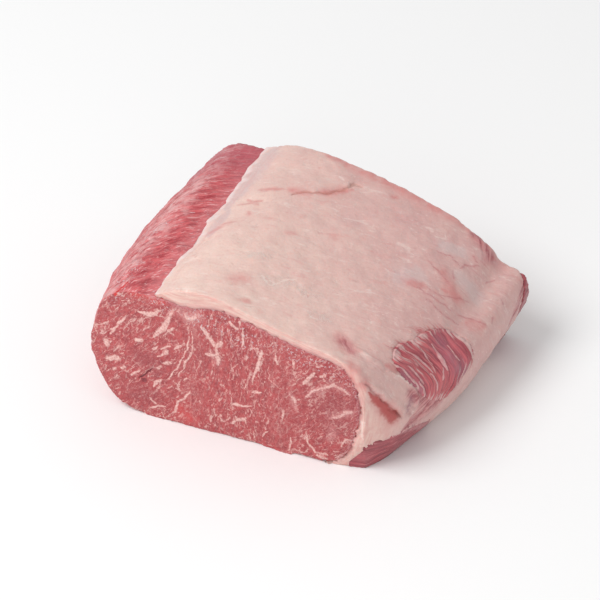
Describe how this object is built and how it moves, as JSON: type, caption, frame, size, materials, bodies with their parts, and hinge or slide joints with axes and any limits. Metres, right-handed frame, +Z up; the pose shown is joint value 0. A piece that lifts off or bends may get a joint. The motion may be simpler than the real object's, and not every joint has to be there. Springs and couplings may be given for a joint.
{
  "type": "raw beef striploin",
  "caption": "Block of raw beef striploin: a marbled eye of lean, cut across at both ends, under a pale fat cap with a flank muscle along its foot.",
  "frame": {"origin": "on the ground, under the middle of the block's bounding box", "axes": "+Z up, +Y from the near cut face to the far one, +X from the bare lean side to the fat-covered tail side"},
  "size_m": [0.2416, 0.1754, 0.1021],
  "materials": {
    "lean": "moist raw lean beef with fine cream marbling",
    "fat": "pale pink beef fat, slightly moist, with veins and membranes",
    "flank": "moist dark purple-red muscle with fine grain",
    "side": "moist streaky red muscle under strands of fat"
  },
  "bodies": {
    "root": {"eye_of_lean": "lean", "fat_cap": "fat", "flank_muscle": "flank", "side_muscle": "side"}
  },
  "joints": []
}
